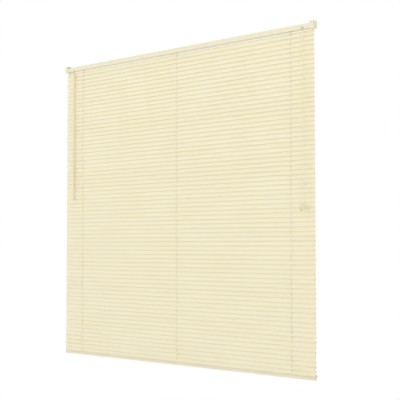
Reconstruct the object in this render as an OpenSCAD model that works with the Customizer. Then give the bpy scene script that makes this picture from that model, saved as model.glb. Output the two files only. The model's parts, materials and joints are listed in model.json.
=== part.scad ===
// Venetian blind with PVC slats, hung in two box brackets and shown lowered with its slats closed.
// X runs along the headrail, Y towards the wall and Z up, so the room is on the -Y side.
// The origin is on the wall plane, midway between the four wall screw holes of the brackets.

/* [Blind] */
// Length of every slat
slat_l = 1600; // [900:10:2400]
// Drop from the top of the headrail to the underside of the bottom rail
blind_drop = 1500; // [900:10:2400]

/* [Slats] */
// Width of a slat across its crown
slat_w = 25; // [23:0.5:27]
// Thickness of the slat sheet
slat_t = 0.5; // [0.3:0.05:0.7]
// Height of the slat's crown over its two edges
slat_crown = 2; // [1:0.1:3]
// Spacing of the slats on the ladders, before it is evened out over the drop
slat_pitch = 20.2; // [18:0.1:21.5]
// Tilt of the closed slats from level, room edge down
slat_tilt = 68; // [64:1:71]
// Gap between the headrail and the top edge of the first slat
slat_top_gap = 5; // [4:0.5:9]
// Length of the cord slot, across the slat
route_l = 10; // [8:0.5:12]
// Width of the cord slot, along the slat
route_w = 5; // [4.8:0.1:7]

/* [Headrail] */
// Depth of the headrail from front to back
rail_d = 25; // [24.5:0.5:32]
// Height of the headrail
rail_h = 22; // [21.5:0.5:27]
// Sheet thickness of the headrail
rail_t = 0.7; // [0.5:0.05:1]
// Width of the lips turned in along the headrail's open top
rail_lip = 4; // [2:0.5:6]
// Outside radius of the headrail's folds
rail_fold_r = 1.6; // [1.2:0.1:2.5]
// Length of the headrail past the slats at each end
rail_over = 3; // [2:0.5:8]
// Thickness of the end caps' flanges
cap_t = 1.5; // [1:0.1:3]
// Length of an end cap inside its rail
cap_plug_l = 8; // [4:0.5:12]
// Wall of the end caps' plugs
cap_wall = 1.2; // [0.8:0.1:2]

/* [Brackets] */
// Length of a bracket along the headrail
bracket_w = 22; // [18:0.5:30]
// Height of a bracket
bracket_h = 30; // [29:0.5:40]
// Sheet thickness of the brackets
bracket_t = 1.2; // [0.8:0.1:1.6]
// Diameter of the screw holes
screw_d = 4.5; // [3:0.1:5]
// Spacing of a bracket's two wall holes, up and down
wall_hole_gap = 16; // [12:0.5:20]
// Spacing of a bracket's two ceiling holes, front to back
top_hole_gap = 12; // [8:0.5:14]
// Outside radius of the cover's hinge knuckles
knuckle_r = 1.8; // [1.6:0.1:2]
// Radius of the cover's hinge pin
hinge_pin_r = 0.8; // [0.6:0.05:1]
// Length of the lip that snaps under the bracket
cover_lip = 4; // [2:0.5:8]

/* [Ladders and lift cords] */
// Distance from the slat's end to the outer ladders
ladder_inset = 125; // [110:5:250]
// Diameter of the ladders' upright strings
string_d = 1; // [0.6:0.1:1.2]
// Diameter of the ladders' rungs
rung_d = 0.8; // [0.5:0.1:1]
// Diameter of the lift cords
cord_d = 1.4; // [1:0.1:1.6]

/* [Tilt gear] */
// Height of the tilt rod's axis over the headrail's floor
rod_h = 9.6; // [9:0.1:10.5]
// Width of the six-sided tilt rod across its corners
rod_d = 5; // [4:0.1:5.4]
// Distance from the slats' left end to the tilter and its wand
wand_inset = 63; // [58:1:90]
// Lean of the worm from upright, towards the room
worm_lean = 20; // [16:1:22]
// Number of teeth on the tilter's gear
gear_teeth = 12; // [10:1:14]
// Mean radius of the gear, halfway up its teeth
gear_r = 4.35; // [4.2:0.05:4.5]
// Face width of the gear
gear_w = 3; // [2:0.1:4]
// Mean radius of the worm, halfway up its thread
worm_r = 2.15; // [2.1:0.05:2.3]
// Height of the teeth and the thread
tooth_h = 0.9; // [0.6:0.05:1]
// Width of the six-sided wand across its corners
wand_d = 9; // [7:0.5:10]
// Length of the wand below its sleeve's mouth
wand_l = 630; // [300:10:900]

/* [Cord lock] */
// Distance from the slats' right end to the middle of the cord lock
lock_inset = 55; // [45:1:65]
// Radius of the locking roller
roller_r = 2.2; // [1.8:0.1:2.3]
// Travel of the locking roller in its slots
roller_travel = 2.4; // [1.5:0.1:2.5]
// Height of a cord tassel
tassel_h = 24; // [18:1:30]
// Radius of a tassel at its mouth
tassel_r = 4.5; // [3.5:0.1:6]

/* [Bottom rail] */
// Width of the oval bottom rail
bottom_w = 25; // [22:0.5:27]
// Thickness of the oval bottom rail
bottom_t = 10; // [9:0.5:11]
// Wall of the bottom rail
bottom_wall = 1.2; // [0.8:0.1:1.5]
// Tilt of the bottom rail from level, room edge down
bottom_tilt = 58; // [54:1:62]
// Height of the bottom rail that shows under the last slat
bottom_show = 16; // [14:0.1:17]
// Distance that the bottom rail hangs behind the slats' middle
bottom_set_back = 1.5; // [1:0.1:2.5]
// Radius of the cord plugs' heads under the bottom rail
plug_r = 4.5; // [4:0.1:6]

/* [Fits] */
// Play between the headrail and its brackets
play = 0.3; // [0.1:0.05:0.5]
// Radial clearance of shafts and pins in their bores
run_fit = 0.08; // [0.04:0.01:0.1]
// Gap between a slat or a cord and what carries it
seat_gap = 0.15; // [0.1:0.05:0.25]
// Gap between pieces that move past each other
move_gap = 0.3; // [0.2:0.05:0.4]

/* [Hidden] */
$fn = 48;

// Colours of the pieces
cream = [0.94, 0.91, 0.79];
cream_dark = [0.90, 0.86, 0.72];
steel = [0.75, 0.76, 0.78];
nylon = [0.93, 0.92, 0.88];

// A little extra depth for cuts that run out through a face
past = 1;

// Levels and planes of the headrail and its brackets
mid_y = -(bracket_t + play + rail_d / 2);
rail_z0 = -bracket_h / 2 + bracket_t;
rail_top = rail_z0 + rail_h;
floor_z = rail_z0 + rail_t;
flat_d = rail_d - 2 * rail_fold_r;
flat_front_y = mid_y - flat_d / 2;
rail_l = slat_l + 2 * rail_over;
rail_end = rail_l / 2 + cap_t;
bracket_end = rail_end + play + bracket_t;
bracket_x = bracket_end - bracket_w / 2;
bracket_d = bracket_t + rail_d + 2 * play;
knuckle_y = -bracket_d - move_gap - bracket_t / 2;
knuckle_z = bracket_h / 2 - knuckle_r;
knuckle_l = bracket_w / 3;

// Slat section and places
slat_rise = slat_w * sin(slat_tilt);
slat_arc_r = (slat_w * slat_w / 4 + slat_crown * slat_crown) / (2 * slat_crown);
slat_arc_half = asin(slat_w / 2 / slat_arc_r);
slat_facets = 5;
blind_z0 = rail_top - blind_drop;
first_slat_z = rail_z0 - slat_top_gap - slat_rise / 2;
last_slat_z = blind_z0 + bottom_show + slat_rise / 2;
slat_gaps = round((first_slat_z - last_slat_z) / slat_pitch);
slat_step = (first_slat_z - last_slat_z) / slat_gaps;
function slat_z(k) = first_slat_z - k * slat_step;

// Bottom rail section: a tilted ellipse, its reach and the height of its upper side at a given depth
bottom_a = bottom_w / 2;
bottom_b = bottom_t / 2;
bottom_half_h = sqrt(pow(bottom_a * sin(bottom_tilt), 2) + pow(bottom_b * cos(bottom_tilt), 2));
bottom_half_d = sqrt(pow(bottom_a * cos(bottom_tilt), 2) + pow(bottom_b * sin(bottom_tilt), 2));
bottom_skew = (bottom_a * bottom_a - bottom_b * bottom_b) * sin(bottom_tilt) * cos(bottom_tilt);
bottom_y = mid_y + bottom_set_back;
bottom_z = blind_z0 + bottom_half_h;
bottom_l = slat_l - 2 * cap_t;
function bottom_top_z(y) = bottom_z + (bottom_skew * (y - bottom_y)
    + bottom_a * bottom_b * sqrt(pow(bottom_half_d, 2) - pow(y - bottom_y, 2))) / pow(bottom_half_d, 2);

// Ladders: strings just outside the slats' edges, rungs under the slats, loops over the drums
ladder_x = [-slat_l / 2 + ladder_inset, 0, slat_l / 2 - ladder_inset];
string_y = slat_w / 2 * cos(slat_tilt) + slat_t / 2 * sin(slat_tilt) + seat_gap + string_d / 2;
rung_drop = slat_t / 2 + seat_gap + rung_d / 2;
loop_d = 0.85 * string_d;
front_string_z = bottom_top_z(mid_y - string_y + string_d / 2) + move_gap;
rear_string_z = bottom_z + bottom_half_h + move_gap;

// Tilt rod, drums and their cradles
rod_z = floor_z + rod_h;
drum_r = string_y - string_d / 2 - seat_gap;
drum_step = 0.8;
journal_r = drum_r - drum_step;
drum_l = 8;
cradle_wall = 2;
cradle_t = 1.2;
cradle_half = drum_l / 2 + move_gap + cradle_wall;
journal_l = 2 * cradle_half + 2;
cradle_d = flat_d;
ladder_cut_l = 14;
rod_past_tilter = 14;
rod_past_drum = 6;
rod_x0 = -slat_l / 2 + wand_inset - rod_past_tilter;
rod_x1 = ladder_x[2] + journal_l / 2 + rod_past_drum;

// Lift cords: up through the slats, then along the floor of the headrail to the cord lock
lift_x = 1.6;
lift_y = mid_y - slat_crown * sin(slat_tilt);
run_clear = 0.4;
run_z = floor_z + cradle_t + run_clear + cord_d / 2;
run_gap = 2;
bend_r = 2 * cord_d;
knot_r = 2;
lock_x = slat_l / 2 - lock_inset;

// Tilter: the worm's axis passes in front of the rod, leaning out through the headrail's front fold
tilter_x = -slat_l / 2 + wand_inset;
mesh_gap = 0.25;
worm_off = gear_r + worm_r + mesh_gap;
worm_y = mid_y - worm_off * cos(worm_lean);
worm_z = rod_z + worm_off * sin(worm_lean);
thread_pitch = 2 * PI * (worm_off - worm_r) / gear_teeth;
thread_half = 4;
worm_shaft_r = 1.5;
worm_top = 7.5;
nose_end = 17;
nose_r = 3.2;
tilter_cut_h = 6.5;
eye_s = 22;
eye_r = 3;
eye_wire = 0.8;
hook_r = 3.4;
hook_wire = 0.8;
housing_w = 18;
housing_back = 7.5;
housing_h = rail_h - 2 * rail_t - 2 * move_gap;
gear_hub_r = journal_r;
wand_y = worm_y - eye_s * sin(worm_lean);
eye_z = worm_z - eye_s * cos(worm_lean);
hook_z = eye_z - hook_r;
hook_clear = 0.5;
sleeve_top = hook_z - hook_r - hook_wire - hook_clear;
sleeve_l = 30;
sleeve_wall = 1.2;
sleeve_cover = 10;
wand_top = sleeve_top - sleeve_cover;
wand_bottom = sleeve_top - sleeve_l - wand_l;
shank_l = 16;
tip_l = 12;

// Cord lock: the cords come over the roller and leave through a nose in the headrail's front fold
lock_half = 8;
lock_wall = 1.6;
lock_back = 3;
lock_h = 15.5;
nose_lean = 35;
nose_y = mid_y - 13;
nose_z = floor_z + 0.1;
nose_gap = 3.4;
nose_wall = 1.2;
nose_w = 12;
lock_cut_h = 8.5;
window_h = 4;
roller_y = mid_y - 4.2;
roller_z = floor_z + roller_r + 0.8;
trunnion_r = 1;
roller_l = 2 * lock_half - 2 * move_gap;

// Pull cord routes below the nose, with X as a step from the middle of the cord lock
exit_y = mid_y - 14.8;
exit_z = -20;
pull_left = [[-4, exit_y, exit_z], [-4, exit_y, -26], [-4.5, exit_y, -60], [-6, exit_y - 1, -140],
    [-8, exit_y - 1, -240], [-10, exit_y, -340], [-11.5, exit_y, -440], [-12, exit_y, -540],
    [-11.5, exit_y, -640], [-11, exit_y, -720], [-11, exit_y, -762], [-11, exit_y, -774]];
pull_middle = [[4, exit_y, exit_z], [4, exit_y, -26], [5, exit_y, -60], [7.5, exit_y - 1, -140],
    [11, exit_y - 1, -240], [15, exit_y, -340], [19, exit_y, -440], [22, exit_y, -540],
    [24, exit_y, -640], [25, exit_y, -720], [25, exit_y, -760], [25, exit_y, -772]];
pull_right = [[0, exit_y, exit_z], [0, exit_y, -26], [0, exit_y, -60], [0.5, exit_y - 1, -140],
    [1, exit_y - 1, -240], [2, exit_y, -340], [3, exit_y, -440], [3.5, exit_y, -540],
    [3.5, exit_y, -640], [3.5, exit_y, -720], [3.5, exit_y, -754], [3.5, exit_y, -766]];
tassel_bore = 0.15;
tassel_wall = 1.4;
tassel_top = 12;

// Carries a section drawn in Y and Z along X, with its middle at the origin
module along_x(length) {
    translate([-length / 2, 0, 0]) rotate([90, 0, 90]) linear_extrude(length) children();
}

// A rod along X with its middle at the given X
module rod_x(x, length, r, sides = 48) {
    translate([x - length / 2, 0, 0]) rotate([0, 90, 0]) cylinder(h = length, r = r, $fn = sides);
}

// A flat-sided cord from one point of the YZ plane to another
module strand(from, to, d, sides) {
    step = to - from;
    translate([0, from[0], from[1]]) rotate([atan2(step[1], step[0]) - 90, 0, 0]) rotate(180 / sides)
        cylinder(h = norm(step), d = d, $fn = sides);
}

// A box between two opposite corners
module box(low, high) {
    translate(low) cube(high - low);
}

// A rectangle with round corners, its middle at the origin
module round_rect(w, h, r) {
    square([w - 2 * r, h], center = true);
    square([w, h - 2 * r], center = true);
    for (x = [-1, 1], y = [-1, 1]) translate([x * (w / 2 - r), y * (h / 2 - r)]) circle(r);
}

// A round cord through a list of points, eight-sided, with a radius for each point
module cord(points, radii) {
    sides = 8;
    n = len(points);
    flow = [for (i = [0 : n - 1]) points[min(i + 1, n - 1)] - points[max(i - 1, 0)]];
    across = [for (f = flow) cross(f, [0, 1, 0]) / norm(cross(f, [0, 1, 0]))];
    over = [for (i = [0 : n - 1]) cross(across[i], flow[i]) / norm(flow[i])];
    rings = [for (i = [0 : n - 1], k = [0 : sides - 1])
        points[i] + radii[i] * (cos(360 * k / sides) * across[i] + sin(360 * k / sides) * over[i])];
    walls = [for (i = [0 : n - 2], k = [0 : sides - 1], half = [0, 1])
        let (a = i * sides + k, b = i * sides + (k + 1) % sides)
        half == 0 ? [a, b, b + sides] : [a, b + sides, a + sides]];
    ends = [[for (k = [sides - 1 : -1 : 0]) k], [for (k = [0 : sides - 1]) (n - 1) * sides + k]];
    polyhedron(points = rings, faces = concat(walls, ends));
}

// Headrail: a folded channel, open on top between its lips, with cut-outs for cords, tilter and lock
module headrail() {
    color(cream) difference() {
        translate([0, mid_y, rail_z0 + rail_h / 2]) along_x(rail_l) difference() {
            round_rect(rail_d, rail_h, rail_fold_r);
            round_rect(rail_d - 2 * rail_t, rail_h - 2 * rail_t, rail_fold_r - rail_t);
            translate([0, rail_h / 2]) square([rail_d - 2 * rail_lip, 4 * rail_t], center = true);
        }
        for (x = ladder_x) translate([x, mid_y, rail_z0])
            cube([ladder_cut_l, 2 * string_y + 4 * string_d, 4 * rail_t], center = true);
        nose_cut(tilter_x, nose_r + past, worm_y + past, floor_z + tilter_cut_h);
        nose_cut(lock_x, nose_w / 2 + nose_wall + past, roller_y - lock_wall, floor_z + lock_cut_h);
    }
}

// Cut through the headrail's front fold, for what leans out there
module nose_cut(x, half, back_y, top_z) {
    box([x - half, mid_y - rail_d / 2 - past, rail_z0 - past], [x + half, back_y, top_z]);
}

// Headrail end cap: a flange over the channel's end and a hollow plug inside it
module headrail_cap(side) {
    plug_w = rail_d - 2 * rail_t - 2 * play;
    plug_h = rail_h - 2 * rail_t - 2 * play;
    color(cream) translate([side * rail_l / 2, mid_y, rail_z0 + rail_h / 2]) {
        translate([side * cap_t / 2, 0, 0]) along_x(cap_t) round_rect(rail_d, rail_h, rail_fold_r);
        translate([-side * cap_plug_l / 2, 0, 0]) along_x(cap_plug_l) difference() {
            square([plug_w, plug_h], center = true);
            square([plug_w - 2 * cap_wall, plug_h - 2 * cap_wall], center = true);
        }
    }
}

// Box bracket: back, top, floor and end plates folded from one sheet, a hold-down tab and a hinge knuckle
module bracket(side) {
    half_w = bracket_w / 2;
    half_h = bracket_h / 2;
    knuckle_room = 2 * (knuckle_r + move_gap);
    color(cream) translate([side * bracket_x, 0, 0]) mirror([side < 0 ? 1 : 0, 0, 0]) difference() {
        union() {
            box([-half_w, -bracket_t, -half_h], [half_w, 0, half_h]);
            box([-half_w, -bracket_d, half_h - bracket_t], [half_w, 0, half_h]);
            box([-half_w, -bracket_d, -half_h], [half_w, 0, -half_h + bracket_t]);
            box([half_w - bracket_t, -bracket_d, -half_h], [half_w, 0, half_h]);
            box([half_w - bracket_w / 3, mid_y - rail_d / 4, rail_top + play],
                [half_w, mid_y + rail_d / 4, rail_top + play + bracket_t]);
            box([-knuckle_l / 2, knuckle_y, half_h - bracket_t], [knuckle_l / 2, -bracket_d, half_h]);
            translate([0, knuckle_y, knuckle_z]) rod_x(0, knuckle_l, knuckle_r);
        }
        for (z = [-1, 1]) translate([0, past, z * wall_hole_gap / 2]) rotate([90, 0, 0])
            cylinder(h = bracket_t + 2 * past, d = screw_d);
        for (y = [-1, 1]) translate([0, y * top_hole_gap / 2 + mid_y, half_h - bracket_t - past])
            cylinder(h = bracket_t + 2 * past, d = screw_d);
        for (end = [-1, 1]) translate([end * (half_w + knuckle_l / 2) / 2, knuckle_y, knuckle_z])
            cube([half_w - knuckle_l / 2, knuckle_room, knuckle_room], center = true);
        translate([half_w, knuckle_y, knuckle_z]) cube([past, knuckle_room, knuckle_room], center = true);
        translate([0, knuckle_y, knuckle_z]) rod_x(0, bracket_w, hinge_pin_r);
    }
}

// Bracket cover: a plate on two knuckles that swings up, with a lip that snaps under the bracket
module bracket_cover(side) {
    low = -bracket_h / 2 - move_gap;
    front_y = -bracket_d - move_gap - bracket_t;
    color(cream) translate([side * bracket_x, 0, 0]) difference() {
        along_x(bracket_w) difference() {
            union() {
                translate([front_y, low - bracket_t]) square([bracket_t, knuckle_z - low + bracket_t]);
                translate([front_y, low - bracket_t]) square([-bracket_d + cover_lip - front_y, bracket_t]);
                translate([knuckle_y, knuckle_z]) circle(knuckle_r);
            }
            translate([knuckle_y, knuckle_z]) circle(hinge_pin_r + run_fit);
        }
        translate([0, knuckle_y, knuckle_z])
            cube([knuckle_l + 2 * move_gap, 4 * knuckle_r, 2 * (knuckle_r + move_gap)], center = true);
    }
}

// Hinge pin of a bracket cover, held in the bracket's knuckle
module bracket_pin(side) {
    color(steel) translate([side * bracket_x, knuckle_y, knuckle_z]) rod_x(0, bracket_w, hinge_pin_r);
}

// Tilt rod: a six-sided bar through the tilter's gear and the three drums
module tilt_rod() {
    color(steel) translate([0, mid_y, rod_z]) rod_x((rod_x0 + rod_x1) / 2, rod_x1 - rod_x0, rod_d / 2, 6);
}

// Six-sided hole for the tilt rod
module rod_hole(length) {
    rod_x(0, length, rod_d / 2 + run_fit, 6);
}

// Ladder drum: turns with the rod in its cradle, and carries the ladder's loop
module ladder_drum(x) {
    color(nylon) translate([x, mid_y, rod_z]) difference() {
        union() {
            rod_x(0, drum_l, drum_r);
            rod_x(0, journal_l, journal_r);
        }
        rod_hole(journal_l + past);
    }
}

// Drum cradle: a plate on the headrail's floor with two bearing walls and a way through for the cords
module cradle(x) {
    rim = 1.5;
    wall_top = rod_z + journal_r + rim;
    way_d = 2 * run_gap + cord_d + 1;
    way_h = run_z + cord_d - floor_z;
    slot_d = 2 * string_y + 3 * string_d;
    color(nylon) translate([x, mid_y, 0]) difference() {
        union() {
            box([-cradle_half, -cradle_d / 2, floor_z], [cradle_half, cradle_d / 2, floor_z + cradle_t]);
            for (side = [-1, 1]) translate([side * (cradle_half - cradle_wall / 2), 0, 0])
                box([-cradle_wall / 2, -cradle_d / 3, floor_z], [cradle_wall / 2, cradle_d / 3, wall_top]);
        }
        translate([0, 0, rod_z]) rod_x(0, 4 * cradle_half, journal_r + run_fit);
        translate([0, lift_y - mid_y, floor_z]) cube([4 * cradle_half, way_d, 2 * way_h], center = true);
        translate([0, 0, floor_z]) cube([4 * string_d, slot_d, 4 * cradle_t], center = true);
    }
}

// Places a shape on the worm's axis, with Z up along it and the rod on its +Y side
module on_worm_axis() {
    translate([tilter_x, worm_y, worm_z]) rotate([-worm_lean, 0, 0]) children();
}

// Outline of the gear: teeth as one wave for each tooth, with a hollow facing the worm
module gear_outline() {
    points = 8 * gear_teeth;
    polygon([for (i = [0 : points - 1])
        let (turn = 360 * i / points, r = gear_r - tooth_h / 2 * cos(gear_teeth * turn))
        r * [cos(turn + 180 - worm_lean), sin(turn + 180 - worm_lean)]]);
}

// Tilter gear: turns the rod, with a hub in the housing's bore on each side
module tilter_gear() {
    color(nylon) translate([tilter_x, mid_y, rod_z]) difference() {
        union() {
            along_x(gear_w) gear_outline();
            for (side = [-1, 1]) rod_x(side * (housing_w + gear_w) / 4, (housing_w - gear_w) / 2, gear_hub_r);
        }
        rod_hole(housing_w + past);
    }
}

// Tilter worm: a threaded shaft that leans out of the headrail and ends in an eye for the wand
module tilter_worm() {
    half_twist = 360 * thread_half / thread_pitch;
    color(nylon) on_worm_axis() {
        translate([0, 0, -thread_half]) rotate([0, 0, 90 - half_twist])
            linear_extrude(2 * thread_half, twist = -2 * half_twist, slices = 36, segments = 12)
                translate([tooth_h / 2, 0]) circle(worm_r, $fn = 12);
        translate([0, 0, -eye_s + eye_r]) cylinder(h = worm_top + eye_s - eye_r, r = worm_shaft_r);
        translate([0, 0, -eye_s]) rotate([90, 0, 0]) rotate_extrude() translate([eye_r, 0]) circle(eye_wire);
    }
}

// Tilter housing: a moulded block on the headrail's floor, open over the gear, with a nose for the worm
module tilter_housing() {
    gear_room = gear_r + tooth_h / 2 + move_gap;
    worm_room = worm_r + tooth_h / 2 + move_gap;
    color(nylon) difference() {
        union() {
            box([tilter_x - housing_w / 2, flat_front_y, floor_z],
                [tilter_x + housing_w / 2, mid_y + housing_back, floor_z + housing_h]);
            on_worm_axis() translate([0, 0, -nose_end]) cylinder(h = nose_end, r = nose_r);
        }
        translate([tilter_x, mid_y, rod_z]) {
            rod_x(0, housing_w + past, gear_hub_r + run_fit);
            rod_x(0, gear_w + 2 * move_gap, gear_room);
            box([-gear_w / 2 - move_gap, -gear_room, 0], [gear_w / 2 + move_gap, gear_room, housing_h]);
        }
        on_worm_axis() {
            translate([0, 0, -thread_half - move_gap])
                cylinder(h = thread_half + housing_h, r = worm_room);
            translate([0, 0, -nose_end - past]) cylinder(h = nose_end + past, r = worm_shaft_r + run_fit);
        }
    }
}

// Wand hook: a ring through the worm's eye on a shank
module wand_hook() {
    color(steel) translate([tilter_x, wand_y, hook_z]) {
        rotate([0, 90, 0]) rotate_extrude() translate([hook_r, 0]) circle(hook_wire);
        translate([0, 0, -hook_r - shank_l]) cylinder(h = shank_l, r = hook_wire);
    }
}

// Wand sleeve: slides down over the hook's shank and the top of the wand
module wand_sleeve() {
    color(cream) translate([tilter_x, wand_y, sleeve_top - sleeve_l]) difference() {
        cylinder(h = sleeve_l, r = wand_d / 2 + sleeve_wall);
        translate([0, 0, -past]) cylinder(h = sleeve_l - sleeve_cover + past, r = wand_d / 2 + run_fit);
        cylinder(h = sleeve_l + past, r = hook_wire + run_fit);
    }
}

// Wand: a six-sided rod, drilled at the top for the hook's shank
module wand() {
    color(cream) translate([tilter_x, wand_y, wand_bottom]) difference() {
        cylinder(h = wand_top - wand_bottom, d = wand_d, $fn = 6);
        translate([0, 0, wand_top - wand_bottom - shank_l])
            cylinder(h = shank_l + past, r = hook_wire + run_fit);
    }
}

// Wand tip: a rounded cap on the wand's lower end
module wand_tip() {
    tip_r = wand_d / 2 + sleeve_wall;
    dome_r = 2;
    color(cream) translate([tilter_x, wand_y, wand_bottom - dome_r]) difference() {
        rotate_extrude() {
            square([tip_r - dome_r, tip_l]);
            translate([0, dome_r]) square([tip_r, tip_l - dome_r]);
            intersection() {
                translate([tip_r - dome_r, dome_r]) circle(dome_r);
                square([tip_r, tip_l]);
            }
        }
        translate([0, 0, dome_r]) cylinder(h = tip_l, r = wand_d / 2 + run_fit);
    }
}

// Places a shape on the cord lock's roller, with Y along its way towards the cords
module on_roller() {
    translate([lock_x, roller_y, roller_z]) rotate([180 - nose_lean, 0, 0]) children();
}

// Way of the cords through the cord lock's nose, or the nose itself
module lock_nose(width, thickness, above, below) {
    translate([lock_x, nose_y, nose_z]) rotate([-nose_lean, 0, 0])
        box([-width / 2, -thickness / 2, -below], [width / 2, thickness / 2, above]);
}

// Cord lock: a moulded trough with slots for the roller, a window for the cords and a nose to the front
module cord_lock() {
    half = lock_half + lock_wall;
    back_y = mid_y + lock_back;
    color(nylon) difference() {
        union() {
            difference() {
                box([lock_x - half, flat_front_y, floor_z], [lock_x + half, back_y, floor_z + lock_h]);
                box([lock_x - lock_half, flat_front_y + lock_wall, floor_z + lock_wall / 2],
                    [lock_x + lock_half, back_y - lock_wall, floor_z + lock_h + past]);
            }
            lock_nose(nose_w + 2 * nose_wall, nose_gap + 2 * nose_wall, 3, 4);
        }
        lock_nose(nose_w, nose_gap, 12, 6);
        box([lock_x - half - past, lift_y - run_gap - 2 * cord_d, run_z + window_h],
            [lock_x - lock_half + past, lift_y + run_gap + cord_d, floor_z + lock_h + past]);
        for (at = [0, 1]) on_roller() translate([0, at * roller_travel, 0])
            rod_x(0, 2 * half + past, trunnion_r + run_fit);
        on_roller() box([-half - past, 0, -trunnion_r - run_fit],
            [half + past, roller_travel, trunnion_r + run_fit]);
    }
}

// Locking roller: lies at the low end of its slots, and rides up them to pinch the cords
module cord_lock_roller() {
    color(steel) on_roller() {
        rod_x(0, roller_l, roller_r);
        rod_x(0, 2 * (lock_half + lock_wall), trunnion_r);
    }
}

// Section of a slat: an arched strip, in facets along the arc
module slat_section() {
    function arc(r, from, to) = [for (i = [0 : slat_facets])
        let (turn = from + (to - from) * i / slat_facets)
        [r * sin(turn), r * cos(turn) + slat_crown - slat_arc_r]];
    rotate(slat_tilt) polygon(concat(
        arc(slat_arc_r + slat_t / 2, -slat_arc_half, slat_arc_half),
        arc(slat_arc_r - slat_t / 2, slat_arc_half, -slat_arc_half)));
}

// One slat, with a cord slot at each ladder
module slat() {
    difference() {
        along_x(slat_l) slat_section();
        for (x = ladder_x) translate([x, 0, 0]) rotate([slat_tilt, 0, 0])
            cube([route_w, route_l, 4 * slat_crown], center = true);
    }
}

// All the slats, each a separate strip on the ladders' rungs
module slats() {
    color(cream) for (k = [0 : slat_gaps]) translate([0, mid_y, slat_z(k)]) slat();
}

// Ladder: front and rear strings joined by a rung under every slat, with a loop over the drum
module ladder(x) {
    along = [cos(slat_tilt), sin(slat_tilt)];
    below = rung_drop * [sin(slat_tilt), -cos(slat_tilt)];
    color(cream_dark) translate([x, mid_y, 0]) {
        strand([-string_y, front_string_z], [-string_y, rod_z + string_d / 3], string_d, 6);
        strand([string_y, rear_string_z], [string_y, rod_z + string_d / 3], string_d, 6);
        translate([0, 0, rod_z]) rotate([90, 0, 90]) rotate_extrude(angle = 180)
            translate([string_y, 0]) circle(d = loop_d, $fn = 6);
        for (k = [0 : slat_gaps]) {
            middle = [0, slat_z(k)] + below;
            strand(middle - along * (string_y + below[0]) / along[0],
                middle + along * (string_y - below[0]) / along[0], rung_d, 4);
        }
    }
}

// Route of a lift cord: from its knot up through the slats, along the headrail and out of the lock
function lift_route(x, side, step) = let (up_x = x + lift_x, run_y = lift_y + side * run_gap) concat(
    [[up_x, lift_y, bottom_z - 5], [up_x, lift_y, bottom_z - 3], [up_x, lift_y, bottom_z - 1],
        [up_x, lift_y, bottom_z]],
    [for (turn = [0 : 30 : 90]) [up_x + bend_r * (1 - cos(turn)), lift_y, run_z - bend_r * (1 - sin(turn))]],
    side == 0 ? [] : [[up_x + 40, run_y, run_z]],
    [[lock_x - 60, run_y, run_z], [lock_x - 24, run_y, run_z + 6.3], [lock_x - 12 + step, run_y, run_z + 8.5],
        [lock_x - 4 + step, run_y - 1, run_z + 9], [lock_x - 1 + step, run_y - 3, run_z + 8],
        [lock_x + step, mid_y - 8, run_z + 4.5], [lock_x + step, mid_y - 12, run_z - 1.2],
        [lock_x + step, exit_y, run_z - 5], [lock_x + step, exit_y, exit_z]]);

// Lift cord, with its knot inside the bottom rail
module lift_cord(x, side, step) {
    route = lift_route(x, side, step);
    radii = [for (i = [0 : len(route) - 1]) i == 0 || i == 1 ? knot_r : cord_d / 2];
    color(cream_dark) cord(route, radii);
}

// Pull cord: hangs from the cord lock's nose to its tassel
module pull_cord(route) {
    color(cream_dark) cord([for (p = route) [lock_x + p[0], p[1], p[2]]], [for (p = route) cord_d / 2]);
}

// Tassel: a bell on the end of a pull cord
module tassel(route) {
    last = route[len(route) - 1];
    neck_r = cord_d / 2 + tassel_wall;
    neck_h = 4;
    waist_in = 0.3;
    lip_r = 1;
    color(cream_dark) translate([lock_x + last[0], last[1], last[2] + tassel_top - tassel_h]) difference() {
        rotate_extrude() polygon([
            [0, 0], [tassel_r - lip_r, 0], [tassel_r, lip_r], [tassel_r - waist_in, tassel_h / 3],
            [neck_r, tassel_h - neck_h], [neck_r, tassel_h], [0, tassel_h]
        ]);
        translate([0, 0, -past]) cylinder(h = tassel_h + 2 * past, r = cord_d / 2 + tassel_bore);
        translate([0, 0, -past]) cylinder(h = tassel_h / 3 + past, r = tassel_r - tassel_wall);
    }
}

// Outline of the bottom rail, an ellipse less an inset
module bottom_outline(inset) {
    points = 32;
    rotate(bottom_tilt) polygon([for (i = [0 : points - 1])
        let (turn = 360 * i / points) [(bottom_a - inset) * cos(turn), (bottom_b - inset) * sin(turn)]]);
}

// Bottom rail: a hollow oval section with a hole for each lift cord and for each cord plug
module bottom_rail() {
    color(cream) translate([0, bottom_y, bottom_z]) difference() {
        along_x(bottom_l) difference() {
            bottom_outline(0);
            bottom_outline(bottom_wall);
        }
        for (x = ladder_x) {
            translate([x + lift_x, lift_y - bottom_y, 0]) cylinder(h = bottom_w, r = cord_d / 2 + move_gap);
            translate([x, 0, 0]) rotate([bottom_tilt, 0, 0]) translate([0, 0, -bottom_t])
                cylinder(h = bottom_t, r = plug_r - 1.5 + run_fit);
        }
    }
}

// Bottom rail end cap: a flange of the rail's outline and a hollow plug inside it
module bottom_cap(side) {
    color(cream) translate([side * bottom_l / 2, bottom_y, bottom_z]) {
        translate([side * cap_t / 2, 0, 0]) along_x(cap_t) bottom_outline(0);
        translate([-side * cap_plug_l / 2, 0, 0]) along_x(cap_plug_l) difference() {
            bottom_outline(bottom_wall + seat_gap);
            bottom_outline(bottom_wall + seat_gap + cap_wall);
        }
    }
}

// Cord plug: a button on the underside of the bottom rail, over the knots
module bottom_plug(x) {
    head_t = 1.2;
    stem = bottom_wall + 0.6;
    color(cream) translate([x, bottom_y, bottom_z]) rotate([bottom_tilt, 0, 0]) translate([0, 0, -bottom_b]) {
        translate([0, 0, -head_t]) cylinder(h = head_t, r = plug_r);
        cylinder(h = stem, r = plug_r - 1.5);
    }
}

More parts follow.
